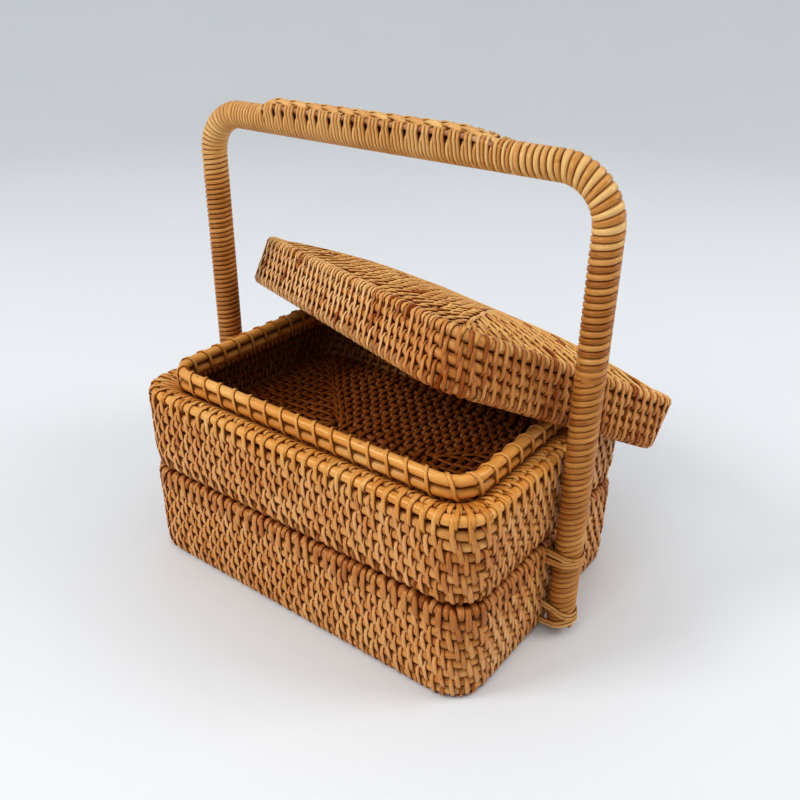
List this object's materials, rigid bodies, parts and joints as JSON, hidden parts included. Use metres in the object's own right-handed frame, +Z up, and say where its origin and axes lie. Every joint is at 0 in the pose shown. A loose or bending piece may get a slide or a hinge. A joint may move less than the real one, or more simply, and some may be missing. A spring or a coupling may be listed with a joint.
{
  "type": "rattan picnic basket",
  "caption": "Stacking woven rattan basket: lower tray with a fixed arch handle, upper tray nesting on its collar, and a loose shallow lid lying askew.",
  "frame": {"origin": "under the middle of the lower tray, on the surface that the basket stands on", "axes": "+Z up, +X along the long side of the trays, -Y towards the front"},
  "size_m": [0.2907, 0.2644, 0.2762],
  "materials": {
    "woven_wall": "satin varnished rattan",
    "woven_floor": "satin varnished rattan",
    "border_rod": "satin varnished rattan",
    "collar_rod": "satin varnished rattan",
    "handle_core": "satin varnished rattan",
    "cane_wrapping": "satin varnished rattan",
    "cane_binding": "satin varnished rattan",
    "grip_cane": "satin varnished rattan"
  },
  "bodies": {
    "lower_tray": {"lower_tray_floor": "woven_floor", "lower_tray_wall": "woven_wall", "lower_border_hoop": "border_rod", "lower_collar_bottom_hoop": "collar_rod", "lower_collar_top_hoop": "collar_rod", "lower_collar_binding": "cane_binding", "handle_pole": "handle_core", "left_post_wrapping": "cane_wrapping", "bar_wrapping": "cane_wrapping", "right_post_wrapping": "cane_wrapping", "grip_front_underlay": "grip_cane", "grip_back_underlay": "grip_cane", "grip_braid": "grip_cane", "right_upper_lashing": "cane_binding", "right_lower_lashing": "cane_binding", "left_upper_lashing": "cane_binding", "left_lower_lashing": "cane_binding"},
    "upper_tray": {"upper_tray_floor": "woven_floor", "upper_tray_wall": "woven_wall", "upper_border_hoop": "border_rod", "upper_collar_bottom_hoop": "collar_rod", "upper_collar_top_hoop": "collar_rod", "upper_collar_binding": "cane_binding"},
    "lid": {"lid_top_panel": "woven_wall", "lid_skirt": "woven_wall", "lid_shoulder_hoop": "border_rod", "lid_edge_hoop": "border_rod"}
  },
  "joints": [
    {"name": "upper_tray_lift", "type": "slide", "parent": "lower_tray", "child": "upper_tray", "axis": [0, 0, 1], "range_m": [0, 0.02]},
    {"name": "lid_draw_out", "type": "slide", "parent": "upper_tray", "child": "lid", "axis": [0, 0.9781, 0.2079], "range_m": [0, 0.25]}
  ]
}
